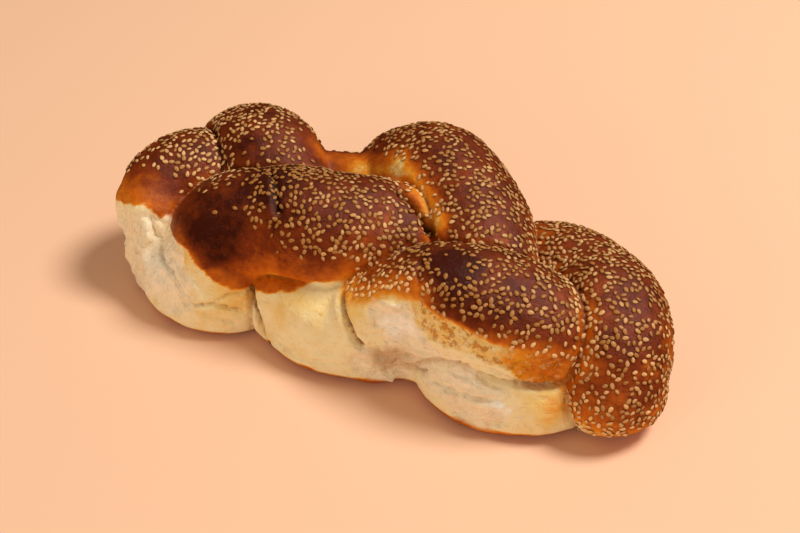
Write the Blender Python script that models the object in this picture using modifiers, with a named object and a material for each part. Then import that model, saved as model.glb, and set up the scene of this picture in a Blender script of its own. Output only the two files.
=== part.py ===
"""Three-rope braided loaf, baked as one body, about 300 mm long.

Frame: +X runs along the loaf, +Y to its back and +Z up. The origin is on the base, under the middle of the
loaf's box. Three ropes of dough are plaited. Each comes up at one side, crosses over the middle and dives
under the next rope. The base is flat from the baking tray, and the front (-Y) side is nearly flat, because
the loaf rose against its neighbour there and was pulled off it.
"""

import math

import bmesh
import bpy
from mathutils import Matrix

MM = 0.001

LOAF = "braided_loaf"

# Each rope's route, in mm: place along the loaf, place across it, height of its centre, and its radius.
ROPES = {
    # Left end, hump at the back of the middle, then low along the front at the right.
    "rope_one": [
        (-131, -29, 41, 21),
        (-129, -11, 47, 25),
        (-113, 7, 44, 28),
        (-94, 27, 25, 27),
        (-66, 38, 17, 26),
        (-45, 46, 28, 23),
        (-13, 46, 54, 31),
        (20, 28, 56, 31),
        (44, 4, 48, 28),
        (56, -15, 27, 27),
        (60, -28, 14, 31),
        (88, -26, 12, 27),
        (102, -20, 15, 22),
    ],
    # Hump at the back of the left end, low along the front of the middle, then the front right hump.
    "rope_two": [
        (-120, 29, 22, 20),
        (-117, 29, 40, 25),
        (-98, 23, 53, 30),
        (-78, 10, 51, 29),
        (-57, -7, 29, 27),
        (-36, -29, 15, 31),
        (-6, -30, 14, 31),
        (17, -27, 34, 29),
        (53, -25, 48, 30),
        (86, -18, 42, 28),
        (104, 1, 25, 22),
    ],
    # Low along the front of the left end, the front left hump, under the middle, then round the right end.
    "rope_three": [
        (-119, -24, 16, 25),
        (-98, -36, 14, 30),
        (-79, -33, 16, 30),
        (-87, -29, 39, 28),
        (-61, -21, 52, 29),
        (-25, -13, 54, 30),
        (3, 3, 48, 29),
        (27, 25, 21, 26),
        (49, 37, 19, 27),
        (66, 35, 33, 26),
        (95, 21, 38, 28),
        (114, -1, 38, 29),
        (121, -14, 21, 27),
    ],
    # Where the three ropes have fused in the middle, between the ones above.
    "fused_middle": [(-100, 2, 25, 24), (-40, 6, 24, 28), (30, 4, 24, 28), (98, 4, 24, 24)],
    # Where the dough has sagged on to the tray along the back.
    "sagged_back": [(-62, 36, 20, 24), (-18, 42, 22, 26), (22, 40, 23, 27), (58, 36, 20, 24)],
    # Between the two back humps.
    "saddle": [(-82, 20, 48, 16), (-57, 30, 50, 15), (-34, 33, 50, 18)],
    # Where their lowest turns have fused along the front.
    "fused_front": [
        (-127, -30, 32, 21),
        (-118, -32, 16, 25),
        (-62, -29, 22, 22),
        (-32, -29, 21, 26),
        (32, -23, 18, 24),
        (68, -25, 23, 24),
    ],
}
CURVE_STEPS = 8  # steps between two points of a route
TUBE_SIDES = 8  # bevel resolution of a rope
RISE_GRAIN = 3.0 * MM  # voxel that joins the ropes
SKIN_GRAIN = 2.5 * MM  # voxel that rounds the edges left by the tray and the neighbour
SKIN_SMOOTHING = 3
KEPT_FACES = 0.16  # share of the skin's faces that the finished solid keeps

TRAY_HEIGHT = 1.0 * MM  # the flat base is cut here, through the tray's rounded edge
# The front side where it was pressed against and then pulled from its neighbour: place along the loaf and place
# across it, at the tray.
PULLED_SIDE = [
    (-160, -34), (-150, -39), (-142, -43), (-130, -51), (-118, -58), (-108, -62), (-96, -64), (-84, -64),
    (-72, -62), (-61, -57), (-51, -52), (-43, -54), (-34, -58), (-24, -61), (-12, -62), (0, -60), (10, -57),
    (21, -53), (31, -49), (42, -52), (53, -56), (64, -57), (76, -57), (88, -55), (100, -53), (160, -52),
]  # fmt: skip
PULLED_LEAN = 0.07  # how far the pulled side leans in for each unit of height
CUTTER_SIZE = 0.6

CRUST_COLOUR = (0.30, 0.085, 0.018, 1.0)
CRUST_ROUGHNESS = 0.42


def clear_scene():
    for obj in list(bpy.data.objects):
        bpy.data.objects.remove(obj)


def new_collection(name):
    collection = bpy.data.collections.new(name)
    bpy.context.scene.collection.children.link(collection)
    return collection


def rope_curve(name, route, collection):
    """One rope of dough as a tube that swells and thins along its route."""
    curve = bpy.data.curves.new(name, "CURVE")
    curve.dimensions = "3D"
    curve.bevel_depth = MM
    curve.bevel_resolution = TUBE_SIDES
    curve.use_fill_caps = True
    curve.resolution_u = CURVE_STEPS
    spline = curve.splines.new("BEZIER")
    spline.radius_interpolation = "CARDINAL"
    spline.bezier_points.add(len(route) - 1)
    for point, (x, y, z, radius) in zip(spline.bezier_points, route):
        point.co = (x * MM, y * MM, z * MM)
        point.radius = radius
        point.handle_left_type = "AUTO"
        point.handle_right_type = "AUTO"
    rope = bpy.data.objects.new(name, curve)
    collection.objects.link(rope)
    return rope


def join_ropes(ropes):
    """All the ropes' skins in one mesh, with their end caps welded on and a ball of dough at each end."""
    bpy.context.view_layer.update()
    graph = bpy.context.evaluated_depsgraph_get()
    skins = bmesh.new()
    for rope in ropes:
        skin = bpy.data.meshes.new_from_object(rope.evaluated_get(graph))
        skins.from_mesh(skin)
        bpy.data.meshes.remove(skin)
    bmesh.ops.remove_doubles(skins, verts=skins.verts, dist=0.01 * MM)
    for route in ROPES.values():
        for x, y, z, radius in (route[0], route[-1]):
            place = Matrix.Translation((x * MM, y * MM, z * MM))
            bmesh.ops.create_icosphere(skins, subdivisions=4, radius=radius * MM, matrix=place)
    mesh = bpy.data.meshes.new(LOAF)
    skins.to_mesh(mesh)
    skins.free()
    for rope in ropes:
        curve = rope.data
        bpy.data.objects.remove(rope)
        bpy.data.curves.remove(curve)
    return mesh


def block(collection, name, top):
    """A large box under this height."""
    shape = bmesh.new()
    place = Matrix.Translation((0, 0, top - CUTTER_SIZE / 2))
    bmesh.ops.create_cube(shape, size=CUTTER_SIZE, matrix=place)
    return cutter_of(collection, name, shape)


def neighbour_block(collection, name):
    """The loaf this one was pulled from: all that lies in front of the pulled side."""
    shape = bmesh.new()
    far, low, high = -CUTTER_SIZE / 2, -CUTTER_SIZE / 4, CUTTER_SIZE / 4
    sections = []
    for x, y in PULLED_SIDE:
        corners = [(y * MM + PULLED_LEAN * low, low), (y * MM + PULLED_LEAN * high, high), (far, high), (far, low)]
        sections.append([shape.verts.new((x * MM, across, height)) for across, height in corners])
    for start, end in zip(sections, sections[1:]):
        for corner in range(4):
            after = (corner + 1) % 4
            shape.faces.new((start[corner], end[corner], end[after], start[after]))
    shape.faces.new(sections[0])
    shape.faces.new(reversed(sections[-1]))
    bmesh.ops.recalc_face_normals(shape, faces=shape.faces)
    return cutter_of(collection, name, shape)


def cutter_of(collection, name, shape):
    mesh = bpy.data.meshes.new(name)
    shape.to_mesh(mesh)
    shape.free()
    cutter = bpy.data.objects.new(name, mesh)
    cutter.hide_render = True
    cutter.display_type = "WIRE"
    collection.objects.link(cutter)
    return cutter


def add_cut(loaf, cutter):
    cut = loaf.modifiers.new(cutter.name, "BOOLEAN")
    cut.operation = "DIFFERENCE"
    cut.solver = "EXACT"
    cut.object = cutter


def add_remesh(loaf, name, grain):
    remesh = loaf.modifiers.new(name, "REMESH")
    remesh.mode = "VOXEL"
    remesh.voxel_size = grain


def bake_loaf(mesh, collection, cutters):
    """The loaf: ropes grown together, pressed flat by the tray and the neighbour, then cut at the base."""
    loaf = bpy.data.objects.new(LOAF, mesh)
    collection.objects.link(loaf)
    tray = block(cutters, "tray", 0.0)
    neighbour = neighbour_block(cutters, "neighbour")
    base_cut = block(cutters, "base_cut", TRAY_HEIGHT)

    add_remesh(loaf, "ropes_grow_together", RISE_GRAIN)
    add_cut(loaf, tray)
    add_cut(loaf, neighbour)
    add_remesh(loaf, "rounded_edges", SKIN_GRAIN)
    smooth = loaf.modifiers.new("smooth_skin", "SMOOTH")
    smooth.iterations = SKIN_SMOOTHING
    thin = loaf.modifiers.new("fewer_faces", "DECIMATE")
    thin.ratio = KEPT_FACES
    add_cut(loaf, base_cut)
    return loaf


def settle_on_base(loaf):
    """Applies the modifiers and puts the origin on the base, under the middle of the loaf's box."""
    bpy.context.view_layer.update()
    graph = bpy.context.evaluated_depsgraph_get()
    mesh = bpy.data.meshes.new_from_object(loaf.evaluated_get(graph))
    loaf.modifiers.clear()
    loaf.data = mesh
    low, high = (
        [pick(vertex.co[axis] for vertex in mesh.vertices) for axis in range(3)] for pick in (min, max)
    )
    for vertex in mesh.vertices:
        vertex.co.x -= (low[0] + high[0]) / 2
        vertex.co.y -= (low[1] + high[1]) / 2
        vertex.co.z -= low[2]
    mesh.shade_smooth()
    mesh.set_sharp_from_angle(angle=math.radians(50))


def crust_material():
    material = bpy.data.materials.new("golden_brown_crust")
    material.use_nodes = True
    shader = material.node_tree.nodes["Principled BSDF"]
    shader.inputs["Base Color"].default_value = CRUST_COLOUR
    shader.inputs["Roughness"].default_value = CRUST_ROUGHNESS
    shader.inputs["Metallic"].default_value = 0.0
    return material


def main():
    clear_scene()
    collection = new_collection(LOAF)
    cutters = new_collection("cutters")
    ropes = [rope_curve(name, route, collection) for name, route in ROPES.items()]
    loaf = bake_loaf(join_ropes(ropes), collection, cutters)
    settle_on_base(loaf)
    loaf.data.materials.clear()
    loaf.data.materials.append(crust_material())


main()
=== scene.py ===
"""Braided sesame loaf: its crust, torn side and seeds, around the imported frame.

Measures in the tables below are in millimetres in the dough's own frame, which shares the frame's axes. Its
zero is where the plait was laid out, and SETTLE moves the finished loaf to the frame's origin.
"""

import math

import bmesh
import bpy
import numpy as np
from bpy.props import FloatProperty, FloatVectorProperty, IntProperty, PointerProperty
from mathutils import Matrix, Vector
from mathutils.geometry import interpolate_bezier


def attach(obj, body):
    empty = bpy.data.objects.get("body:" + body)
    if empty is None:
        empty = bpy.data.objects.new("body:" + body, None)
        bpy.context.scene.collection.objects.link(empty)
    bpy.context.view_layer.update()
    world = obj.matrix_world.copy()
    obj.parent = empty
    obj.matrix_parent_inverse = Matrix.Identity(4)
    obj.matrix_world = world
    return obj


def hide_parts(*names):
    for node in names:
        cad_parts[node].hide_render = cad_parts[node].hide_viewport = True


bl_info = {
    "name": "Braided Sesame Loaf",
    "version": (1, 0, 0),
    "blender": (4, 5, 0),
    "location": "3D View > Sidebar > Loaf",
    "description": "Builds a plaited loaf with a torn side and sesame seeds",
    "category": "Add Mesh",
}

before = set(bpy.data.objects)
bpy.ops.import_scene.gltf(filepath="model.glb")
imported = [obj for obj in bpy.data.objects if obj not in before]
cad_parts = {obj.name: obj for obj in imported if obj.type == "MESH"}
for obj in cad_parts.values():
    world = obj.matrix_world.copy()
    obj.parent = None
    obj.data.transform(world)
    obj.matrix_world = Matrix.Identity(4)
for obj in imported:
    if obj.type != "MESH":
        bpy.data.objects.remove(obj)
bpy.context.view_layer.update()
CAD_NODE = "braided_loaf"
MM = 0.001
SETTLE = np.array((2.9, -6.5, -1.0))

# Each rope's route: place along the loaf, place across it, height of its centre, and its radius.
ROPES = {
    "rope_one": [
        (-131, -29, 41, 21),
        (-129, -11, 47, 25),
        (-113, 7, 44, 28),
        (-94, 27, 25, 27),
        (-66, 38, 17, 26),
        (-45, 46, 28, 23),
        (-13, 46, 54, 31),
        (20, 28, 56, 31),
        (44, 4, 48, 28),
        (56, -15, 27, 27),
        (60, -28, 14, 31),
        (88, -26, 12, 27),
        (102, -20, 15, 22),
    ],
    "rope_two": [
        (-120, 29, 22, 20),
        (-117, 29, 40, 25),
        (-98, 23, 53, 30),
        (-78, 10, 51, 29),
        (-57, -7, 29, 27),
        (-36, -29, 15, 31),
        (-6, -30, 14, 31),
        (17, -27, 34, 29),
        (53, -25, 48, 30),
        (86, -18, 42, 28),
        (104, 1, 25, 22),
    ],
    "rope_three": [
        (-119, -24, 16, 25),
        (-98, -36, 14, 30),
        (-79, -33, 16, 30),
        (-87, -29, 39, 28),
        (-61, -21, 52, 29),
        (-25, -13, 54, 30),
        (3, 3, 48, 29),
        (27, 25, 21, 26),
        (49, 37, 19, 27),
        (66, 35, 33, 26),
        (95, 21, 38, 28),
        (114, -1, 38, 29),
        (121, -14, 21, 27),
    ],
    "fused_middle": [(-100, 2, 25, 24), (-40, 6, 24, 28), (30, 4, 24, 28), (98, 4, 24, 24)],
    "sagged_back": [(-62, 36, 20, 24), (-18, 42, 22, 26), (22, 40, 23, 27), (58, 36, 20, 24)],
    "saddle": [(-82, 20, 48, 16), (-57, 30, 50, 15), (-34, 33, 50, 18)],
    "fused_front": [
        (-127, -30, 32, 21),
        (-118, -32, 16, 25),
        (-62, -29, 22, 22),
        (-32, -29, 21, 26),
        (32, -23, 18, 24),
        (68, -25, 23, 24),
    ],
}
# The first three are the plait's own ropes, and the rest is dough that fused between them.
PLAITED = 3
LAST_ROPE = list(ROPES).index("rope_three")
STEPS = 12  # samples between two points of a route
TUBE_SIDES = 10  # bevel resolution of a rope
BALL_DIVISIONS = 5  # of the ball of dough at a rope's end
# Across the loaf, distances to a line on the pulled side count less, so a bulge of the side doesn't lose it.
SIDEWAYS = np.array((1.0, 0.3, 1.0))
TRAY = 1.0  # height of the tray
TRAY_FADE = (0.2, 9.0)  # heights over the tray between which the relief of the skin grows to full
# Share of the tray's rounding that is left at the notch: places along the loaf, and the share at each.
NOTCH_ROUNDING = ((4, 14, 34, 46), (1.0, 0.45, 0.45, 1.0))
# The pulled side at the tray: place along the loaf and place across it.
PULLED_SIDE = [
    (-160, -34), (-150, -39), (-142, -43), (-130, -51), (-118, -58), (-108, -62), (-96, -64), (-84, -64),
    (-72, -62), (-61, -57), (-51, -52), (-43, -54), (-34, -58), (-24, -61), (-12, -62), (0, -60), (10, -57),
    (21, -53), (31, -49), (42, -52), (53, -56), (64, -57), (76, -57), (88, -55), (100, -53), (160, -52),
]  # fmt: skip
PULLED_LEAN = 0.07

# Where the browned crust ends on the torn side: place along the loaf and height.
CRUST_EDGE = [
    (-155, 42), (-144, 48), (-136, 53), (-127, 56), (-121, 54), (-116, 49), (-107, 48), (-98, 49), (-91, 49),
    (-83, 43), (-74, 37), (-63, 33), (-50, 33), (-35, 39), (-23, 44), (-13, 48), (-9, 47), (-3, 46), (8, 51),
    (22, 58), (30, 60), (37, 62), (42, 61), (48, 60), (55, 60), (63, 59), (71, 57), (78, 55), (87, 54),
    (94, 53), (102, 49), (108, 43), (114, 33), (125, 20),
]  # fmt: skip
# Where the pale skin starts on the way to the front: places along the loaf, and how far front at each.
PALE_START = ((-150, -128, -110, 80, 104, 112), (4, 14, 26, 26, 30, 33))
PALE_FULL = 39  # how far front it is pale all over
# Half the width over which crust turns into pale skin: places along the loaf, and the width at each.
EDGE_SOFTNESS = ((-14, -8, 28, 40, 95, 104), (0.8, 5.0, 5.0, 2.0, 2.0, 0.8))
# Height of the browned line along the tray: places along the loaf, and the height at each.
TRAY_LINE = ((-60, 40), (4.4, 6.2))
# The lower edge of the golden blistered band under the front right hump: place along the loaf and height.
BAND_EDGE = [
    (28, 54), (37, 46), (48, 44), (58, 45), (70, 45), (77, 44), (86, 41), (91, 35), (104, 30), (112, 31),
]  # fmt: skip

# Torn crumb on the pulled side: middle along, middle height, half length, half height.
TORN = [
    (-128, 26, 22, 30),
    (-106, 32, 15, 22),
    (-95, 24, 15, 15),
    (-101, 41, 11, 9),
    (24, 47, 14, 9),
    (34, 34, 17, 13),
    (19, 17, 16, 12),
    (52, 27, 18, 14),
    (72, 18, 23, 16),
]
# Torn places that are whiter (+) or browner (-) than the rest: place, reach and how much. The browner ones
# are painted shade where the crumb is recessed or under overhanging crust.
CRUMB_TONES_AND_SHADE = [
    ((-106, -52, 30), 15, 0.45),
    ((26, -48, 41), 9, 1.00),
    ((86, -52, 22), 7, 1.10),
    ((48, -48, 36), 10, 0.20),
    ((66, -54, 30), 14, 0.35),
    ((20, -50, 24), 11, -0.75),
    ((34, -47, 18), 9, -0.60),
    ((64, -53, 22), 9, -0.25),
    ((-122, -50, 14), 10, -0.25),
]
# Patches of the pale skin that browned a little: place, reach and how much.
GOLDEN_PATCHES = [
    ((-66, -55, 34), 11, 0.09),
    ((-92, -56, 42), 9, 0.09),
    ((-64, -56, 20), 8, 0.02),
    ((-57, -50, 34), 7, 0.03),
    ((-30, -51, 38), 8, 0.06),
    ((-38, -54, 26), 8, 0.04),
    ((-14, -54, 30), 7, 0.04),
    ((2, -50, 45), 10, 0.07),
    ((16, -48, 54), 8, 0.05),
    ((100, -44, 24), 10, 0.06),
    ((108, -40, 22), 8, 0.10),
]

# Spots on the crust: place, reach and how much more (+) or less (-) it is browned.
BROWNING = [
    ((-142, -34, 50), 12, -0.18),  # lower edge of the first hump
    ((-127, -38, 59), 12, -0.18),
    ((-74, -24, 80), 20, 0.14),
    ((-78, -50, 60), 17, 0.24),
    ((-68, -50, 50), 12, 0.14),
    ((-52, -22, 82), 14, 0.16),
    ((-98, 2, 74), 12, 0.16),
    ((46, -32, 76), 12, 0.28),
    ((20, -18, 76), 12, 0.20),
    ((62, -42, 68), 16, 0.10),
    ((58, -50, 63), 14, 0.06),
    ((88, -45, 58), 12, 0.06),
    ((62, 28, 61), 10, -0.12),  # groove between the front right hump and the right end
    ((81, 11, 61), 9, -0.10),
    ((104, -36, 46), 11, -0.12),
    ((122, -38, 12), 10, -0.18),
    ((128, -30, 32), 26, 0.08),
    ((-74, -53, 45), 12, 0.17),
    ((3, -19, 76), 12, -0.20),
]
# Bands along which the crust stayed lighter: points on the surface, width, and how browned, from 0 to 1.
LIGHT_BANDS = [
    ([(-82, 20, 66), (-61, 26, 68), (-47, 30, 66)], 9, 0.42),
    ([(-40, 27, 65), (-30, 23, 66), (-25, 23, 71), (-13, 21, 78)], 8, 0.13),
    ([(-13, 20, 78), (-4, 17, 79), (6, 9, 78), (14, 3, 76), (22, -4, 73)], 7, 0.12),
    ([(-146, -32, 46), (-138, -38, 51), (-129, -44, 55), (-121, -42, 54)], 7, 0.30),
    ([(-122, -36, 56), (-116, -36, 54), (-110, -34, 56), (-104, -22, 63)], 6, 0.46),
    ([(-117, -40, 50), (-107, -45, 49), (-91, -54, 50), (-83, -56, 45)], 5, 0.50),
    ([(-74, -54, 39), (-63, -53, 35), (-50, -49, 35), (-35, -47, 41), (-23, -43, 45)], 5, 0.40),
    ([(-6, -41, 51), (-3, -46, 47), (9, -48, 53), (22, -48, 59)], 9, 0.20),
    ([(22, -46, 63), (30, -46, 65), (37, -46, 66)], 5, 0.34),
    ([(84, -46, 54), (97, -42, 50), (104, -38, 44), (109, -35, 34)], 5, 0.44),
    ([(100, -10, 66), (110, -19, 60), (114, -27, 52), (112, -32, 43)], 6, 0.42),
]
# Spots with no seeds: place and reach.
BARE = [
    ((-142, -34, 48), 15),
    ((-127, -38, 58), 14),
    ((-112, -38, 52), 14),
    ((-97, -46, 56), 16),
    ((-80, -50, 56), 19),
    ((-64, -50, 50), 17),
    ((-46, -48, 42), 12),
    ((-74, -34, 76), 8),
    ((-62, 24, 69), 13),
    ((-44, 28, 66), 15),
    ((-24, 20, 71), 12),
    ((-8, 19, 78), 9),
    ((12, 6, 77), 6),
    ((24, -4, 72), 5),
    ((46, -31, 76), 8),
    ((-84, 0, 78), 7),
]

# Cracks in the crust: points on the surface, width, depth, and step up to the left of it.
CRACKS = [
    ([(-65, -17, 80), (-58, -22, 82), (-51, -31, 80), (-47, -37, 77), (-43, -39, 75)], 1.4, 3.6, 1.8),
    ([(-43, -39, 75), (-46, -43, 70), (-48, -46, 65), (-48, -47, 60)], 0.9, 1.6, 0.9),
    ([(29, -33, 73), (32, -40, 70), (37, -45, 66), (39, -46, 62)], 1.0, 1.2, 0.6),
    ([(-109, 3, 74), (-103, -3, 72), (-98, -8, 68), (-95, -12, 67)], 1.3, 2.6, 0.0),
    (
        [(-5, 4, 80), (1, 0, 80), (8, -1, 78), (14, -3, 74), (19, -6, 71), (24, -11, 68), (27, -15, 67)],
        2.0, 10.0, 0.0,
    ),  # the dark gap between the two middle humps
]  # fmt: skip
# Wrinkles in the pale skin of the pulled side: points on the surface, width and depth.
WRINKLES = [
    ([(-130, -48, 44), (-127, -50, 31), (-120, -55, 24), (-113, -59, 16)], 1.0, 2.4),
    ([(-120, -43, 51), (-117, -46, 41), (-109, -52, 36), (-97, -60, 33), (-89, -62, 23)], 0.9, 1.8),
    (
        [(-93, -61, 14), (-88, -60, 20), (-82, -60, 21), (-73, -58, 24), (-64, -56, 22), (-56, -53, 20)],
        0.8, 2.0,
    ),
    ([(-73, -58, 25), (-66, -56, 30), (-58, -52, 32)], 0.7, 1.5),
    ([(-84, -61, 13), (-78, -60, 17), (-68, -57, 15), (-61, -55, 12)], 0.8, 1.5),
    ([(-58, -50, 37), (-57, -50, 32), (-53, -52, 21), (-48, -52, 10), (-43, -53, 1)], 1.2, 5.0),
    ([(-50, -55, 4), (-38, -56, 10), (-24, -59, 9), (-10, -60, 12), (4, -57, 14)], 0.9, 1.4),
    ([(-9, -42, 48), (-6, -45, 45), (-1, -50, 41), (3, -53, 37), (6, -54, 31), (12, -54, 25)], 1.3, 5.2),
    ([(55, -52, 33), (66, -52, 38), (77, -50, 39), (90, -45, 34)], 1.0, 1.7),
    ([(43, -51, 19), (63, -55, 21), (80, -54, 24), (87, -52, 24)], 1.1, 1.6),
    ([(30, -47, 15), (38, -47, 19), (44, -49, 24)], 1.5, 2.2),
    ([(84, -46, 35), (92, -44, 33), (100, -42, 31), (110, -36, 34)], 1.2, 2.6),
]  # fmt: skip


# ---------------------------------------------------------------- settings


def length_setting(name, description, size):
    """A setting for a length whose default is this many millimetres."""
    return FloatProperty(name=name, description=description, default=size * MM, unit="LENGTH")


def colour_setting(name, description, shade):
    """A setting for a colour."""
    return FloatVectorProperty(name=name, description=description, default=shade, subtype="COLOR")


class LoafSettings(bpy.types.PropertyGroup):
    """Sizes of the loaf's skin and its cracks."""

    grain: length_setting("Skin grain", "Spacing of the skin's points", 1.32)
    tray_rounding: length_setting("Tray rounding", "Rounding of the edge on the tray", 16)
    side_rounding: length_setting("Side rounding", "Rounding of the pulled side's edge", 7)
    crease_depth: length_setting("Crease depth", "How far the ropes' creases sink", 2.6)
    torn_depth: length_setting("Torn depth", "Relief of the torn crumb", 2.3)


class CrustSettings(bpy.types.PropertyGroup):
    """Colours of the crust from unbaked to darkest, and of the crumb."""

    skin: colour_setting("Pale skin", "Dough that hardly browned", (0.95, 0.80, 0.46))
    straw: colour_setting("Straw", "Skin that just began to brown", (0.89, 0.61, 0.20))
    golden: colour_setting("Golden", "Lightly browned crust", (0.84, 0.31, 0.014))
    amber: colour_setting("Amber", "Orange-brown crust", (0.62, 0.13, 0.0015))
    chestnut: colour_setting("Chestnut", "Well browned crust", (0.23, 0.031, 0.001))
    mahogany: colour_setting("Mahogany", "Darkest crust", (0.06, 0.0065, 0.0008))
    crumb: colour_setting("Crumb", "Torn white crumb", (0.95, 0.80, 0.53))


class SeedSettings(bpy.types.PropertyGroup):
    """Sesame seeds on the crust."""

    length: length_setting("Length", "Length of a seed", 3.4)
    width: length_setting("Width", "Width of a seed", 2.3)
    thickness: length_setting("Thickness", "Thickness of a seed", 1.0)
    spacing: length_setting("Spacing", "Least distance between seeds", 2.4)
    density: FloatProperty(
        name="Density", description="Seeds on a square metre where they lie thickest", default=450000.0
    )
    scatter: IntProperty(name="Scatter", description="Which random scatter is used", default=7)
    cream: colour_setting("Cream", "Palest seeds", (0.86, 0.50, 0.20))
    toasted: colour_setting("Toasted", "Most toasted seeds", (0.39, 0.155, 0.03))


class StageSettings(bpy.types.PropertyGroup):
    """Floor, lights and camera."""

    floor: colour_setting("Floor", "Colour of the floor", (0.905, 0.555, 0.35))
    azimuth: FloatProperty(
        name="Azimuth", description="Turn of the camera", default=math.radians(29.6), subtype="ANGLE"
    )
    elevation: FloatProperty(
        name="Elevation",
        description="Height of the camera's look",
        default=math.radians(38.0),
        subtype="ANGLE",
    )
    distance: FloatProperty(
        name="Distance", description="Camera to loaf", default=0.778, unit="LENGTH"
    )
    key: FloatProperty(name="Key light", description="Strength of the key light in watts", default=37.5)
    fill: FloatProperty(name="Fill light", description="Strength of the surrounding light", default=0.32)


# ---------------------------------------------------------------- numbers that look random but never change


def lattice(cell, seed):
    """A steady number from 0 to 1 for each whole-numbered cell."""
    x, y, z = (cell[:, axis].astype(np.int64) & 0xFFFFFFFF for axis in range(3))
    mixed = (x * 374761393 + y * 668265263 + z * 2246822519 + seed * 3266489917) & 0xFFFFFFFF
    mixed = ((mixed ^ (mixed >> 13)) * 1274126177) & 0xFFFFFFFF
    return (mixed ^ (mixed >> 16)).astype(np.float64) / 0xFFFFFFFF


def clouds(place, size, seed, octaves=1):
    """Smooth noise from -1 to 1 whose lumps are about this size."""
    total = np.zeros(len(place))
    weight = 1.0
    for octave in range(octaves):
        spot = place / size * 2**octave + 17.3 * octave
        base = np.floor(spot)
        part = spot - base
        part = part * part * (3 - 2 * part)
        for corner in range(8):
            step = np.array([corner & 1, corner >> 1 & 1, corner >> 2 & 1])
            share = np.prod(np.where(step, part, 1 - part), axis=1)
            total += weight * share * (2 * lattice(base + step, seed + octave) - 1)
        weight *= 0.5
    return total


def bubbles(place, size, seed):
    """Distance to the nearest and to the second nearest of scattered points, in units of size."""
    spot = place / size
    base = np.floor(spot)
    first = np.full(len(place), 9.0)
    second = first.copy()
    for step in np.ndindex(3, 3, 3):
        cell = base + np.array(step) - 1
        centre = cell + np.stack([lattice(cell, seed + axis) for axis in range(3)], axis=1)
        gap = np.linalg.norm(spot - centre, axis=1)
        second = np.minimum(second, np.maximum(first, gap))
        first = np.minimum(first, gap)
    return first, second


def ramp(value, low, high):
    """0 at low and 1 at high, smoothly between."""
    part = np.clip((value - low) / (high - low), 0, 1)
    return part * part * (3 - 2 * part)


def soft_max(value, limit, width):
    """value, kept above limit with a rounded corner."""
    near = np.maximum(width - np.abs(value - limit), 0) / width
    return np.maximum(value, limit) + near * near * width / 4


def bell(gap, width):
    """1 at no gap, falling off smoothly over the width."""
    return np.exp(-((gap / width) ** 2))


def line_gap(place, points):
    """Distance to a line through points, the fraction along it, and the offset from it along the loaf."""
    points = np.array(points, float)
    steps = np.diff(points, axis=0)
    lengths = np.linalg.norm(steps, axis=1)
    before = np.concatenate([[0], np.cumsum(lengths)])
    best = np.full(len(place), 1e9)
    along = np.zeros(len(place))
    offset = np.zeros(len(place))
    for start, step, length, done in zip(points, steps, lengths, before):
        part = np.clip((place - start) @ step / length**2, 0, 1)
        away = place - start - part[:, None] * step
        gap = np.linalg.norm(away, axis=1)
        closer = gap < best
        best[closer] = gap[closer]
        along[closer] = ((done + part * length) / before[-1])[closer]
        offset[closer] = away[closer, 0]
    return best, along, offset


# ---------------------------------------------------------------- the loaf's body


def rope_curve(name):
    """One rope of dough as a tube that swells and thins along its route."""
    curve = bpy.data.curves.new(name, "CURVE")
    curve.dimensions = "3D"
    curve.bevel_depth = MM
    curve.bevel_resolution = TUBE_SIDES
    curve.use_fill_caps = True
    curve.resolution_u = STEPS
    spline = curve.splines.new("BEZIER")
    spline.radius_interpolation = "CARDINAL"
    spline.bezier_points.add(len(ROPES[name]) - 1)
    for point, (x, y, z, radius) in zip(spline.bezier_points, ROPES[name]):
        point.co = (x * MM, y * MM, z * MM)
        point.radius = radius
        point.handle_left_type = "AUTO"
        point.handle_right_type = "AUTO"
    rope = bpy.data.objects.new(name, curve)
    bpy.context.scene.collection.objects.link(rope)
    return rope


def rope_samples(rope):
    """Places down the middle of a rope and its radius at each, in mm."""
    points = rope.data.splines[0].bezier_points
    radii = np.array([point.radius for point in points])
    ends = np.concatenate([[radii[0]], radii, [radii[-1]]])
    rows = []
    for index in range(len(points) - 1):
        here, there = points[index], points[index + 1]
        places = interpolate_bezier(here.co, here.handle_right, there.handle_left, there.co, STEPS + 1)
        before, start, end, after = ends[index : index + 4]
        for part, place in zip(np.linspace(0, 1, STEPS + 1), places):
            slope_in, slope_out = (end - before) / 2, (after - start) / 2
            square, cube = part * part, part**3
            radius = (
                (2 * cube - 3 * square + 1) * start
                + (cube - 2 * square + part) * slope_in
                + (3 * square - 2 * cube) * end
                + (cube - square) * slope_out
            )
            rows.append((*(place / MM), radius))
    return np.array(rows)


def grow_together(ropes, grain):
    """One closed skin round all the ropes, with a ball of dough at each rope's end."""
    graph = bpy.context.evaluated_depsgraph_get()
    skins = bmesh.new()
    for rope in ropes:
        skin = bpy.data.meshes.new_from_object(rope.evaluated_get(graph))
        skins.from_mesh(skin)
        bpy.data.meshes.remove(skin)
    bmesh.ops.remove_doubles(skins, verts=skins.verts, dist=0.01 * MM)
    for route in ROPES.values():
        for x, y, z, radius in (route[0], route[-1]):
            place = Matrix.Translation((x * MM, y * MM, z * MM))
            bmesh.ops.create_icosphere(skins, subdivisions=BALL_DIVISIONS, radius=radius * MM, matrix=place)
    mesh = bpy.data.meshes.new("loaf")
    skins.to_mesh(mesh)
    skins.free()
    loaf = bpy.data.objects.new("loaf", mesh)
    bpy.context.scene.collection.objects.link(loaf)
    remesh = loaf.modifiers.new("grown_together", "REMESH")
    remesh.mode = "VOXEL"
    remesh.voxel_size = grain
    apply_modifiers(loaf)
    return loaf


def apply_modifiers(obj):
    bpy.context.view_layer.update()
    graph = bpy.context.evaluated_depsgraph_get()
    mesh = bpy.data.meshes.new_from_object(obj.evaluated_get(graph))
    obj.modifiers.clear()
    old = obj.data
    obj.data = mesh
    bpy.data.meshes.remove(old)


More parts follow.
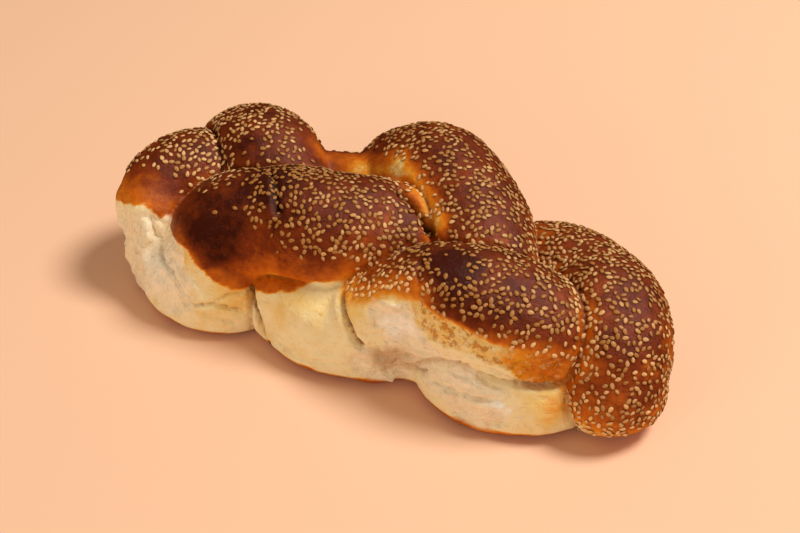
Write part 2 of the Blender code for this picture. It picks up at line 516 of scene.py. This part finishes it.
def places_of(mesh):
    flat = np.empty(len(mesh.vertices) * 3, np.float32)
    mesh.vertices.foreach_get("co", flat)
    return flat.reshape(-1, 3).astype(float) / MM


def normals_of(mesh):
    flat = np.empty(len(mesh.vertices) * 3, np.float32)
    mesh.vertex_normals.foreach_get("vector", flat)
    return flat.reshape(-1, 3).astype(float)


def move_points(mesh, places):
    mesh.vertices.foreach_set("co", (places * MM).astype(np.float32).ravel())
    mesh.update()


def neighbour_mean(mesh, values, rounds=1):
    """values averaged over each point's neighbours."""
    ends = np.empty(len(mesh.edges) * 2, np.int32)
    mesh.edges.foreach_get("vertices", ends)
    ends = ends.reshape(-1, 2)
    count = np.bincount(ends.ravel(), minlength=len(values)).astype(float)
    values = values.reshape(len(values), -1)
    for _ in range(rounds):
        total = np.zeros_like(values)
        for axis in range(values.shape[1]):
            total[:, axis] = np.bincount(
                ends[:, 0], weights=values[ends[:, 1], axis], minlength=len(values)
            ) + np.bincount(ends[:, 1], weights=values[ends[:, 0], axis], minlength=len(values))
        values = total / count[:, None]
    return values if values.shape[1] > 1 else values[:, 0]


CHUNK = 8000  # points measured at once, to spare memory


def rope_fields(places, ropes):
    """For each point: its rope, the fraction along that rope, and the distance to the next nearest rope."""
    plaited = ropes[:PLAITED]
    gaps = np.empty((len(places), len(plaited)))
    along = np.empty((len(places), len(plaited)))
    for column, rope in enumerate(plaited):
        samples = rope_samples(rope)
        for start in range(0, len(places), CHUNK):
            block = slice(start, start + CHUNK)
            away = np.linalg.norm(places[block, None] - samples[None, :, :3], axis=2) - samples[:, 3]
            best = away.argmin(axis=1)
            gaps[block, column] = away[np.arange(len(best)), best]
            along[block, column] = best / (len(samples) - 1)
    every = np.arange(len(places))
    owner = gaps.argmin(axis=1)
    gaps[every, owner] = np.inf
    return owner, along[every, owner], gaps.min(axis=1)


def press_flat(places, settings):
    """Flattens the base on the tray and the front side on the neighbouring loaf."""
    pressed = places.copy()
    side = np.interp(places[:, 0], *zip(*PULLED_SIDE)) + PULLED_LEAN * places[:, 2]
    side += 1.0 * clouds(places * (1, 0, 1), 24, 31) + 0.4 * clouds(places * (1, 0, 1), 9, 32)
    pressed[:, 1] = soft_max(places[:, 1], side, settings.side_rounding / MM)
    rounding = settings.tray_rounding / MM * np.interp(places[:, 0], *NOTCH_ROUNDING)
    pressed[:, 2] = soft_max(places[:, 2], TRAY, rounding)
    return pressed


# The painted shade in a crack or wrinkle deepens with its depth.
FULLY_DARK = 3.5  # depth from which a crack or wrinkle is as dark as it gets


class Masks:
    """What the skin is like at each point, from 0 to 1."""

    def __init__(self, places, normals, owner, along, gap):
        x, y, z = places.T
        wander = clouds(places, 11, 5, 2)
        fine = clouds(places, 3.2, 6, 2)
        right_end = (owner == LAST_ROPE) & (along > 0.62)
        edge = np.interp(x, *zip(*CRUST_EDGE)) + 1.4 * wander + 0.7 * fine
        front = ramp(-y, np.interp(x, *PALE_START), PALE_FULL)
        front = np.maximum(front, ramp(-x, 124, 132) * ramp(-y, -2, 10))
        below = ramp((edge - z) / np.interp(x, *EDGE_SOFTNESS), -1, 1)
        self.pale = front * below * (1 - right_end)
        self.rim = bell(z - edge, 4.0) * front * (1 - right_end)
        base_line = ramp(TRAY + np.interp(x, *TRAY_LINE) + 1.6 * wander - z, 0, 2.4)
        self.pale *= 1 - base_line
        torn = np.zeros(len(places))
        for middle, height, length, tall in TORN:
            reach = ((x - middle) / length) ** 2 + ((z - height) / tall) ** 2
            torn = np.maximum(torn, ramp(1.05 - reach + 0.40 * wander + 0.30 * fine, 0, 0.40))
        band_low = np.interp(x, *zip(*BAND_EDGE)) + 1.5 * wander + fine
        band = ramp(z - band_low, -0.8, 0.8) * ramp(x, 30, 38) * self.pale
        self.blister = band
        self.torn = torn * self.pale * (1 - band)
        self.tone = 0.5 + 0.12 * wander
        # The crumb's tone varies at random; its browner spots are painted shade.
        for middle, reach, more in CRUMB_TONES_AND_SHADE:
            self.tone += 0.5 * more * bell(np.linalg.norm(places - middle, axis=1), reach)
        # Creases between the ropes; the material paints shade along them.
        self.seam = bell(gap, 1.3)
        # Painted shade in the cracks and wrinkles, darker the deeper they are.
        self.crack_shade = np.zeros(len(places))
        for points, width, depth, *step in CRACKS + WRINKLES:
            along_side = 1.0 if step else SIDEWAYS
            away, part, _ = line_gap(places * along_side, np.array(points) * along_side)
            ends = ramp(part, 0, 0.12) * ramp(1 - part, 0, 0.12)
            dark = bell(away + 0.5 * fine, max(1.1 * width, 1.3)) * ends * min(depth / FULLY_DARK, 1)
            self.crack_shade = np.maximum(self.crack_shade, dark)
        self.seam_wide = bell(gap, 4.0)
        self.bake = self.browning(places, normals, wander, base_line)
        self.seeds = self.seeding(places, normals, right_end)

    def browning(self, places, normals, wander, base_line):
        """How browned each point is, from the pale skin to the darkest crust."""
        x, _, z = places.T
        up = normals[:, 2]
        bake = 0.36 + 0.22 * ramp(up, -0.3, 0.75) + 0.15 * ramp(z, 28, 74)
        bake += 0.10 * wander - 0.12 * self.seam_wide - 0.06 * self.rim - 0.12 * ramp(22 - z, 0, 20)
        for middle, reach, more in BROWNING:
            bake += more * bell(np.linalg.norm(places - middle, axis=1), reach)
        for points, width, level in LIGHT_BANDS:
            share = 0.9 * bell(line_gap(places, points)[0] + 1.2 * wander, width)
            bake = bake * (1 - share) + level * share
        pale_bake = 0.03 + 0.05 * np.maximum(clouds(places, 12, 9, 2), 0)
        pale_bake = pale_bake + (0.06 + 0.24 * ramp(x, 76, 104)) * self.blister
        for middle, reach, more in GOLDEN_PATCHES:
            pale_bake += more * bell(np.linalg.norm(places - middle, axis=1), reach)
        bake = bake * (1 - self.pale) + pale_bake * self.pale
        bake = bake * (1 - base_line) + (0.34 + 0.10 * wander) * base_line
        return np.clip(bake, 0, 1)

    def seeding(self, places, normals, right_end):
        """How thickly seeds lie at each point: on top of the humps, and all round the right end."""
        x, _, z = places.T
        up = normals[:, 2]
        amount = ramp(up, np.where(right_end, -0.75, 0.05), np.where(right_end, -0.3, 0.5))
        amount *= ramp(z, np.where(right_end, 4, 34), np.where(right_end, 9, 52))
        for middle, reach in BARE:
            amount *= np.maximum(1 - 1.5 * bell(np.linalg.norm(places - middle, axis=1), reach), 0)
        amount *= ramp(x, -150, -120) * 0.3 + 0.7
        amount *= (1 - self.pale + 0.5 * self.blister) * (1 - 0.7 * self.seam)
        amount *= 0.8 + 0.35 * clouds(places, 7, 12, 2)
        return np.clip(amount, 0, 1)


def sculpt(places, normals, masks, settings):
    """How far each point moves out along its normal, in mm."""
    x = places[:, 0]
    # A broad swell and fine dimples all over.
    move = 0.7 * clouds(places, 27, 1, 2) + 0.16 * clouds(places, 5, 2, 2)
    move -= settings.crease_depth / MM * masks.seam
    for points, width, depth, step in CRACKS:
        gap, along, offset = line_gap(places, points)
        ends = ramp(along, 0, 0.12) * ramp(1 - along, 0, 0.12)
        ragged = gap + 0.35 * clouds(places, 2.5, 21)
        move -= depth * bell(ragged, width) * ends
        move += step * ramp(-offset, -0.5, 1.5) * bell(gap, 7) * ends
    for points, width, depth in WRINKLES:
        gap, along, _ = line_gap(places * SIDEWAYS, points * SIDEWAYS)
        ends = ramp(along, 0, 0.15) * ramp(1 - along, 0, 0.15)
        move -= depth * bell(gap + 0.3 * clouds(places, 3, 22), width) * ends
        move += 0.35 * min(depth, 2.2) * bell(gap - 3 * width, 2 * width) * ends
    # Torn crumb, in strands that stand at the left and lie at the right.
    stretch = np.where((x > 0)[:, None], (0.25, 1.0, 1.0), (1.0, 1.0, 0.25))
    streaks = clouds(places * stretch, 2.6, 41, 2)
    pits, _ = bubbles(places * (1, 1, 0.6), 3.4, 51)
    folds = clouds(places * stretch, 6.0, 43)
    relief = 0.6 * folds + 0.6 * streaks + 0.5 * clouds(places, 8, 42, 2) - 0.4 * ramp(0.42 - pits, 0, 0.4)
    move += masks.torn * (settings.torn_depth / MM * relief - 0.9)
    # Blisters, with grooves where they meet.
    centre, second = bubbles(places, 3.0, 61)
    blisters = ramp(second - centre, 0.02, 0.5)
    move += masks.blister * (0.9 * blisters - 0.55 + 0.5 * clouds(places, 6, 62, 2))
    return move


class BREAD_OT_loaf(bpy.types.Operator):
    """Plait, prove and bake the loaf, and tear it from its neighbour"""

    bl_idname = "bread.loaf"
    bl_label = "Loaf"

    def execute(self, context):
        settings = context.scene.loaf
        ropes = [rope_curve(name) for name in ROPES]
        context.view_layer.update()
        loaf = grow_together(ropes, settings.grain)
        mesh = loaf.data
        places = places_of(mesh)
        owner, along, gap = rope_fields(places, ropes)
        for rope in ropes:
            curve = rope.data
            bpy.data.objects.remove(rope)
            bpy.data.curves.remove(curve)
        places = press_flat(places, settings)
        places = places * 0.5 + neighbour_mean(mesh, places) * 0.5
        move_points(mesh, places)
        normals = neighbour_mean(mesh, normals_of(mesh), 4)
        normals /= np.linalg.norm(normals, axis=1)[:, None]
        masks = Masks(places, normals, owner, along, gap)
        move = sculpt(places, normals, masks, settings)
        low, high = TRAY_FADE
        on_tray = ramp(places[:, 2], TRAY + low, TRAY + high)
        places = places + normals * (move * on_tray)[:, None]
        places[:, 2] = np.maximum(places[:, 2], TRAY)
        move_points(mesh, places + SETTLE)
        for name in ("bake", "torn", "blister", "pale", "seam", "crack_shade", "tone", "seeds"):
            layer = mesh.attributes.new(name, "FLOAT", "POINT")
            layer.data.foreach_set("value", getattr(masks, name).astype(np.float32))
        mesh.shade_smooth()
        mesh.materials.clear()
        mesh.materials.append(loaf_material(context.scene.crust))
        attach(loaf, "root")
        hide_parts(CAD_NODE)
        return {"FINISHED"}


# ---------------------------------------------------------------- materials


class Wire:
    """A shader socket that sums, differences and products can be written with."""

    def __init__(self, tree, socket):
        self.tree = tree
        self.socket = socket

    def __add__(self, other):
        return self.tree.math("ADD", self, other)

    def __sub__(self, other):
        return self.tree.math("SUBTRACT", self, other)

    def __mul__(self, other):
        return self.tree.math("MULTIPLY", self, other)

    def __rsub__(self, other):
        return self.tree.math("SUBTRACT", other, self)

    __radd__ = __add__
    __rmul__ = __mul__


class Shader:
    """A material's node tree, filled in node by node."""

    def __init__(self, name):
        self.material = bpy.data.materials.new(name)
        self.material.use_nodes = True
        self.tree = self.material.node_tree
        self.principled = self.tree.nodes["Principled BSDF"]

    def add(self, kind, settings=None, values=None):
        """A node's outputs, after its settings and then its sockets' values or links."""
        node = self.tree.nodes.new(kind)
        for name, value in (settings or {}).items():
            setattr(node, name, value)
        for key, value in (values or {}).items():
            self.feed(node.inputs[key], value)
        return [Wire(self, output) for output in node.outputs]

    def feed(self, socket, value):
        if isinstance(value, Wire):
            self.tree.links.new(value.socket, socket)
        else:
            socket.default_value = value

    def math(self, operation, *values):
        return self.add("ShaderNodeMath", {"operation": operation}, dict(enumerate(values)))[0]

    def attribute(self, name):
        return self.add("ShaderNodeAttribute", {"attribute_name": name})[2]

    def place(self, scale=(1, 1, 1)):
        coordinates = self.add("ShaderNodeTexCoord")[3]
        return self.add("ShaderNodeMapping", {}, {"Vector": coordinates, "Scale": scale})[0]

    def noise(self, place, size, detail=2.0, roughness=0.5):
        """Noise from 0 to 1 whose lumps are about this size in metres."""
        values = {"Vector": place, "Scale": 1 / size, "Detail": detail, "Roughness": roughness}
        return self.add("ShaderNodeTexNoise", {}, values)[0]

    def cells(self, place, size):
        """Distance to the nearest of points scattered about this far apart, in that measure."""
        return self.add("ShaderNodeTexVoronoi", {}, {"Vector": place, "Scale": 1 / size})[0]

    def step(self, value, low, high):
        """0 below low and 1 above high, smoothly."""
        settings = {"interpolation_type": "SMOOTHSTEP"}
        return self.add("ShaderNodeMapRange", settings, {0: value, 1: low, 2: high})[0]

    def mix(self, factor, first, second):
        """The first colour at factor 0 and the second at 1."""
        settings = {"data_type": "RGBA"}
        colours = [c if isinstance(c, Wire) else (*c, 1.0)[:4] for c in (first, second)]
        return self.add("ShaderNodeMix", settings, {0: factor, 6: colours[0], 7: colours[1]})[2]

    def colours(self, value, stops):
        """A colour ramp through (place, colour) stops."""
        node = self.tree.nodes.new("ShaderNodeValToRGB")
        elements = node.color_ramp.elements
        while len(elements) < len(stops):
            elements.new(1.0)
        for element, (place, colour) in zip(elements, stops):
            element.position = place
            element.color = (*colour, 1.0)
        self.feed(node.inputs[0], value)
        return Wire(self, node.outputs[0])

    def bump(self, height, distance, strength):
        values = {"Height": height, "Distance": distance, "Strength": strength}
        return self.add("ShaderNodeBump", {}, values)[0]

    def finish(self, **values):
        """The material, once its shader has these values or links."""
        for name, value in values.items():
            self.feed(self.principled.inputs[name.replace("_", " ").title().replace("Ior", "IOR")], value)
        return self.material


# How browned the crust is, from 0 to 1, where it has each of its own colours.
BROWNED_AT = {"skin": 0.03, "straw": 0.10, "golden": 0.18, "amber": 0.37, "chestnut": 0.64, "mahogany": 0.90}
# Sizes of the patterns in the skin, and the height of its relief, in metres.
BROAD, MOTTLE, PORES = 0.012, 0.0035, 0.0008
SPECKS, GRAINS, PUCKERS = 0.0026, 0.0032, 0.0045
FIBRES, HOLLOWS = 0.0015, 0.005
RELIEF = 0.0009
SEED_GRAIN, SEED_RELIEF = 0.0007, 0.0001
# Colours that the settings don't hold.
SPECK = (0.55, 0.22, 0.06)
BLISTER = (0.64, 0.215, 0.012)
PUCKER = (0.93, 0.70, 0.32)
# Painted shade in the torn crumb's hollows and grooves.
CRUMB_HOLLOW_SHADE = (0.88, 0.69, 0.43)
CRUMB_GROOVE_SHADE = (0.74, 0.51, 0.28)
CRUMB_WHITE = (0.99, 0.94, 0.80)
# Browner crumb: partly the crumb's own tone, partly painted shade.
CRUMB_BROWN_AND_SHADE = (0.60, 0.38, 0.19)
# Painted shade in the creases between the ropes, in the crust and in the pale skin.
CREASE_SHADE = ((0.08, 0.02, 0.004), (0.48, 0.24, 0.08))  # in the crust and in the pale skin
# Painted shade down in the cracks and wrinkles, in the crust and in the pale skin.
GULLY_SHADE = ((0.03, 0.009, 0.004), (0.30, 0.12, 0.035))  # in the crust and in the pale skin
# Painted shade along a seed's edges and ends.
SEED_EDGE_SHADE = (0.15, 0.045, 0.01)


def loaf_material(crust):
    """Egg-washed crust, pale skin and torn crumb, told apart by the skin's own attributes, with painted
    shade in its creases, cracks, wrinkles and crumb hollows.
    """
    shader = Shader("baked_crust_and_crumb")
    place = shader.place()
    bake, torn, blister, pale, seam, crack_shade, tone = map(
        shader.attribute, ("bake", "torn", "blister", "pale", "seam", "crack_shade", "tone")
    )
    broad = shader.noise(place, BROAD, 3.0)
    mottle = shader.noise(place, MOTTLE, 3.0, 0.6)
    pores = shader.noise(place, PORES, 3.0, 0.7)
    crusty = 1 - pale * 0.8 + blister * 0.25
    level = bake + ((broad - 0.5) * 0.26 + (mottle - 0.5) * 0.34 + (pores - 0.5) * 0.12) * crusty
    browned = shader.colours(level, [(place, getattr(crust, name)) for name, place in BROWNED_AT.items()])
    specks = shader.step(shader.cells(place, SPECKS), 0.16, 0.06)
    browned = shader.mix(specks * (1 - pale) * 0.22, browned, SPECK)
    grains = shader.step(shader.noise(place, GRAINS, 2.0, 0.6), 0.50, 0.62)
    grains = grains * shader.step(broad, 0.36, 0.52) * blister
    browned = shader.mix(grains * 0.8, browned, BLISTER)
    upright = shader.noise(shader.place((1, 1, 0.2)), FIBRES, 3.0, 0.65)
    lengthwise = shader.noise(shader.place((0.2, 1, 1)), FIBRES, 3.0, 0.65)
    along = shader.add("ShaderNodeSeparateXYZ", {}, {0: place})[0]
    side = shader.step(along, -0.03, 0.03)
    fibres = upright * (1 - side) + lengthwise * side
    hollows = shader.noise(place, HOLLOWS, 3.0, 0.6)
    # The crumb is painted darker where its relief sinks: painted shade in its hollows and grooves.
    crumb = shader.mix(shader.step(hollows, 0.28, 0.55), CRUMB_HOLLOW_SHADE, crust.crumb)
    crumb = shader.mix(shader.step(fibres, 0.30, 0.56), shader.mix(0.3, crumb, CRUMB_GROOVE_SHADE), crumb)
    crumb = shader.mix(shader.step(tone, 0.5, 0.95) * 0.85, crumb, CRUMB_WHITE)
    # Browner crumb, partly its own tone and partly painted shade.
    crumb = shader.mix(shader.step(tone, 0.5, 0.1) * 0.8, crumb, CRUMB_BROWN_AND_SHADE)
    puckers = shader.step(shader.noise(shader.place((1, 1, 1.5)), PUCKERS, 1.5), 0.52, 0.70) * pale
    browned = shader.mix(puckers * 0.35, browned, PUCKER)
    colour = shader.mix(torn, browned, crumb)
    crease_shade = shader.mix(pale, *CREASE_SHADE)
    # Painted shade along the creases between the ropes.
    colour = shader.mix(shader.step(seam, 0.3, 1.0) * 0.5, colour, crease_shade)
    # Painted shade down in the cracks and wrinkles.
    gully_shade = shader.mix(pale, *GULLY_SHADE)
    colour = shader.mix(shader.step(crack_shade, 0.3, 0.8) * 0.85, colour, gully_shade)
    height = (pores * 0.55 + mottle * 0.9) * (1 - torn) + grains * 0.9 - puckers * 0.5
    height = height + (fibres * 0.8 + hollows * 0.8) * torn * 1.5
    gloss = (1 - torn) * (1 - pale)
    roughness = 0.85 - gloss * 0.40 + (mottle - 0.5) * 0.2 + crack_shade * 0.4
    return shader.finish(
        base_color=colour,
        roughness=roughness,
        normal=shader.bump(height, RELIEF, 0.8),
        specular_ior_level=0.3,
    )


def seed_material(seeds):
    """Hulled sesame: cream to toasted from seed to seed, with painted shade round its edges and at both
    ends.
    """
    shader = Shader("sesame_seed")
    tint = shader.attribute("seed_tint")
    rim = shader.attribute("seed_edge_shade")
    grain = shader.noise(shader.place(), SEED_GRAIN, 2.0)
    toast = shader.attribute("bake")
    along = shader.add("ShaderNodeSeparateXYZ", {}, {0: shader.place()})[0]
    paler_end = shader.step(along, -0.05, -0.11)
    level = tint * 0.6 + (toast - 0.45) * 1.5 + (grain - 0.5) * 0.4 - paler_end * 0.3
    colour = shader.mix(shader.step(level, 0.0, 0.9), seeds.cream, seeds.toasted)
    # Painted shade round the seed's edges and ends, where it meets the crust.
    colour = shader.mix(shader.step(rim, 0.2, 0.9) * 0.8, colour, SEED_EDGE_SHADE)
    return shader.finish(
        base_color=colour,
        roughness=0.5,
        normal=shader.bump(grain, SEED_RELIEF, 0.5),
        specular_ior_level=0.3,
    )


def floor_material(stage):
    shader = Shader("plain_floor")
    return shader.finish(base_color=(*stage.floor, 1.0), roughness=0.85, specular_ior_level=0.2)


# ---------------------------------------------------------------- seeds

# Corners round a seed, as angles from its side over its top, and how much painted shade each gets along the
# seed's edge.
SEED_CORNERS = [(0, 1.0), (42, 0.35), (90, 0.0), (138, 0.35), (180, 1.0), (270, 1.0)]
# Rings of a seed from its round end to its tip: place along it, width and height as parts of the largest.
SEED_RINGS = [(-0.36, 0.70, 0.80), (-0.06, 1.0, 1.0), (0.26, 0.66, 0.70)]
SEED_TILT = 0.16  # most that a seed leans, in radians
SEED_SCALES = (0.82, 1.14)  # of the smallest and the largest seed
SEED_LIFT = 0.2  # of a seed's thickness, from the skin to its middle
FEWEST_FACES = 1000  # of all the seeds together


def seed_mesh(seeds):
    """One teardrop seed, lying along X with its tip at +X."""
    shape = bmesh.new()
    # This layer holds each corner's share of painted shade along the seed's edge; both ends get it all.
    browned = shape.verts.layers.float.new("seed_edge_shade")
    rings = []
    for place, wide, high in SEED_RINGS:
        ring = []
        for angle, rim in SEED_CORNERS:
            turn = math.radians(angle)
            y = math.cos(turn) * wide * seeds.width / 2
            z = math.sin(turn) * high * seeds.thickness / 2
            ring.append(shape.verts.new((place * seeds.length, y, z)))
            ring[-1][browned] = rim
        rings.append(ring)
    ends = [shape.verts.new((x * seeds.length, 0, 0)) for x in (-0.5, 0.5)]
    for end in ends:
        end[browned] = 1.0
    for side in range(len(SEED_CORNERS)):
        after = (side + 1) % len(SEED_CORNERS)
        shape.faces.new((ends[0], rings[0][after], rings[0][side]))
        for low, high in zip(rings, rings[1:]):
            shape.faces.new((low[side], low[after], high[after], high[side]))
        shape.faces.new((ends[1], rings[-1][side], rings[-1][after]))
    bmesh.ops.recalc_face_normals(shape, faces=shape.faces)
    mesh = bpy.data.meshes.new("sesame_seed")
    shape.to_mesh(mesh)
    shape.free()
    mesh.shade_smooth()
    return mesh


class Nodes:
    """A Geometry Nodes tree with named inputs."""

    def __init__(self, name):
        self.tree = bpy.data.node_groups.new(name, "GeometryNodeTree")
        self.tree.is_modifier = True
        self.tree.interface.new_socket("Geometry", in_out="INPUT", socket_type="NodeSocketGeometry")
        self.tree.interface.new_socket("Geometry", in_out="OUTPUT", socket_type="NodeSocketGeometry")
        self.given = self.tree.nodes.new("NodeGroupInput")

    def ask(self, name, kind):
        """A new named input of the tree."""
        self.tree.interface.new_socket(name, in_out="INPUT", socket_type=kind)
        return self.given.outputs[name]

    def add(self, kind, settings=None, values=None):
        node = self.tree.nodes.new(kind)
        for name, value in (settings or {}).items():
            setattr(node, name, value)
        for key, value in (values or {}).items():
            if isinstance(value, bpy.types.NodeSocket):
                self.tree.links.new(value, node.inputs[key])
            else:
                node.inputs[key].default_value = value
        return node

    def attach(self, obj, **values):
        """Puts the tree on an object, with its inputs set."""
        modifier = obj.modifiers.new(self.tree.name, "NODES")
        modifier.node_group = self.tree
        for item in self.tree.interface.items_tree:
            if item.in_out == "INPUT" and item.name in values:
                modifier[item.identifier] = values[item.name]


def seed_nodes():
    """Scatters seeds over a skin by its seeds attribute, each turned, tilted, sized and tinted at random."""
    nodes = Nodes("scattered_seeds")
    spacing = nodes.ask("Spacing", "NodeSocketFloat")
    density = nodes.ask("Density", "NodeSocketFloat")
    scatter = nodes.ask("Scatter", "NodeSocketInt")
    lift = nodes.ask("Lift", "NodeSocketFloat")
    seed = nodes.ask("Seed", "NodeSocketObject")
    finish = nodes.ask("Finish", "NodeSocketMaterial")
    where = nodes.add("GeometryNodeInputNamedAttribute", {"data_type": "FLOAT"}, {"Name": "seeds"})
    points = nodes.add(
        "GeometryNodeDistributePointsOnFaces",
        {"distribute_method": "POISSON"},
        {
            "Mesh": nodes.given.outputs["Geometry"],
            "Distance Min": spacing,
            "Density Max": density,
            "Density Factor": where.outputs["Attribute"],
            "Seed": scatter,
        },
    )
    turn = nodes.add("FunctionNodeRandomValue", {"data_type": "FLOAT_VECTOR"})
    turn.inputs[0].default_value = (-SEED_TILT, -SEED_TILT, 0)
    turn.inputs[1].default_value = (SEED_TILT, SEED_TILT, 2 * math.pi)
    turned = nodes.add(
        "FunctionNodeRotateRotation",
        {"rotation_space": "LOCAL"},
        {"Rotation": points.outputs["Rotation"], "Rotate By": turn.outputs[0]},
    )
    size = nodes.add("FunctionNodeRandomValue", {"data_type": "FLOAT"})
    size.inputs[2].default_value, size.inputs[3].default_value = SEED_SCALES
    size.inputs["Seed"].default_value = 3
    shape = nodes.add("GeometryNodeObjectInfo", {}, {"Object": seed})
    placed = nodes.add(
        "GeometryNodeInstanceOnPoints",
        {},
        {
            "Points": points.outputs["Points"],
            "Instance": shape.outputs["Geometry"],
            "Rotation": turned.outputs[0],
            "Scale": size.outputs[1],
        },
    )
    up = nodes.add("ShaderNodeCombineXYZ", {}, {"Z": lift})
    lifted = nodes.add(
        "GeometryNodeTranslateInstances",
        {},
        {"Instances": placed.outputs[0], "Translation": up.outputs[0], "Local Space": True},
    )
    tint = nodes.add("FunctionNodeRandomValue", {"data_type": "FLOAT"})
    tint.inputs["Seed"].default_value = 5
    tinted = nodes.add(
        "GeometryNodeStoreNamedAttribute",
        {"data_type": "FLOAT", "domain": "INSTANCE"},
        {"Geometry": lifted.outputs[0], "Name": "seed_tint", "Value": tint.outputs[1]},
    )
    real = nodes.add("GeometryNodeRealizeInstances", {}, {"Geometry": tinted.outputs[0]})
    done = nodes.add("GeometryNodeSetMaterial", {}, {"Geometry": real.outputs[0], "Material": finish})
    nodes.add("NodeGroupOutput", {}, {"Geometry": done.outputs[0]})
    return nodes


class BREAD_OT_seeds(bpy.types.Operator):
    """Scatter sesame seeds over the browned crust"""

    bl_idname = "bread.seeds"
    bl_label = "Sesame seeds"

    def execute(self, context):
        seeds = context.scene.seeds
        seed = bpy.data.objects.new("one_seed", seed_mesh(seeds))
        seed.hide_render = True
        context.scene.collection.objects.link(seed)
        scattered = bpy.data.objects.new("sesame_seeds", bpy.data.objects["loaf"].data.copy())
        context.scene.collection.objects.link(scattered)
        seed_nodes().attach(
            scattered,
            Spacing=seeds.spacing,
            Density=seeds.density,
            Scatter=seeds.scatter,
            Lift=SEED_LIFT * seeds.thickness,
            Seed=seed,
            Finish=seed_material(seeds),
        )
        apply_modifiers(scattered)
        bpy.data.objects.remove(seed)
        if len(scattered.data.polygons) < FEWEST_FACES:
            raise RuntimeError("the seeds were not scattered")
        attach(scattered, "root")
        return {"FINISHED"}


# ---------------------------------------------------------------- stage

# Each light's place, size across in metres, share of the key light's watts, and colour.
KEY = ((0.84, 0.56, 1.80), 0.7, 1.0, (0.99, 0.98, 0.97))
FRONT_FILL = ((-0.35, -1.5, 0.42), 1.0, 0.20, (1.0, 0.93, 0.85))
LIGHT_AIM = (0, 0, 0.03)
SURROUND = (1.0, 0.80, 0.62, 1.0)
FLOOR_HALF = 4.0
FLOOR_GAP = 0.0004  # keeps the floor from touching the base
LENS, SENSOR = 70, 36  # in mm
CAMERA_AIM = (0, 0, 0.035)  # over the dough's own zero


def area_light(name, key_watts, place, size, share, colour):
    """A round soft light that points at the loaf."""
    light = bpy.data.lights.new(name, "AREA")
    light.shape = "DISK"
    light.size = size
    light.energy = share * key_watts
    light.color = colour
    lamp = bpy.data.objects.new(name, light)
    lamp.location = place
    lamp.rotation_euler = (Vector(LIGHT_AIM) - Vector(place)).to_track_quat("-Z", "Y").to_euler()
    bpy.context.scene.collection.objects.link(lamp)
    return lamp


class BREAD_OT_stage(bpy.types.Operator):
    """Set up the plain floor, the soft lights and the camera"""

    bl_idname = "bread.stage"
    bl_label = "Stage"

    def execute(self, context):
        scene = context.scene
        stage = scene.stage
        mesh = bpy.data.meshes.new("floor")
        corners = [(x * FLOOR_HALF, y * FLOOR_HALF, 0) for x, y in ((-1, -1), (1, -1), (1, 1), (-1, 1))]
        mesh.from_pydata(corners, [], [(0, 1, 2, 3)])
        mesh.materials.append(floor_material(stage))
        floor = bpy.data.objects.new("floor", mesh)
        floor.location.z = -FLOOR_GAP
        floor.visible_glossy = False
        scene.collection.objects.link(floor)

        world = bpy.data.worlds.new("soft_surround")
        scene.world = world
        world.use_nodes = True
        background = world.node_tree.nodes["Background"]
        background.inputs["Color"].default_value = SURROUND
        background.inputs["Strength"].default_value = stage.fill
        world.cycles_visibility.glossy = False

        area_light("key", stage.key, *KEY)
        fill = area_light("front_fill", stage.key, *FRONT_FILL)
        fill.visible_glossy = False

        turn, rise = stage.azimuth, stage.elevation
        back = Vector((math.sin(turn) * math.cos(rise), -math.cos(turn) * math.cos(rise), math.sin(rise)))
        aim = Vector(SETTLE * MM) + Vector(CAMERA_AIM)
        lens = bpy.data.cameras.new("camera")
        lens.lens = LENS
        lens.sensor_width = SENSOR
        camera = bpy.data.objects.new("camera", lens)
        camera.location = aim + back * stage.distance
        camera.rotation_euler = (-back).to_track_quat("-Z", "Y").to_euler()
        scene.collection.objects.link(camera)
        scene.camera = camera
        scene.view_settings.view_transform = "Standard"
        return {"FINISHED"}


class BREAD_PT_panel(bpy.types.Panel):
    """The loaf's settings and steps"""

    bl_idname = "BREAD_PT_panel"
    bl_label = "Braided Loaf"
    bl_space_type = "VIEW_3D"
    bl_region_type = "UI"
    bl_category = "Loaf"

    def draw(self, context):
        for name, operator in (
            ("loaf", BREAD_OT_loaf),
            ("crust", None),
            ("seeds", BREAD_OT_seeds),
            ("stage", BREAD_OT_stage),
        ):
            group = getattr(context.scene, name)
            for prop in group.bl_rna.properties:
                if not prop.is_readonly and prop.identifier != "name":
                    self.layout.prop(group, prop.identifier)
            if operator:
                self.layout.operator(operator.bl_idname)


SETTINGS = {"loaf": LoafSettings, "crust": CrustSettings, "seeds": SeedSettings, "stage": StageSettings}
CLASSES = (*SETTINGS.values(), BREAD_OT_loaf, BREAD_OT_seeds, BREAD_OT_stage, BREAD_PT_panel)


def register():
    for cls in CLASSES:
        bpy.utils.register_class(cls)
    for name, group in SETTINGS.items():
        setattr(bpy.types.Scene, name, PointerProperty(type=group))


def unregister():
    for name in SETTINGS:
        delattr(bpy.types.Scene, name)
    for cls in reversed(CLASSES):
        bpy.utils.unregister_class(cls)


def main():
    register()
    bpy.ops.bread.loaf()
    bpy.ops.bread.seeds()
    bpy.ops.bread.stage()


if __name__ == "__main__":
    main()
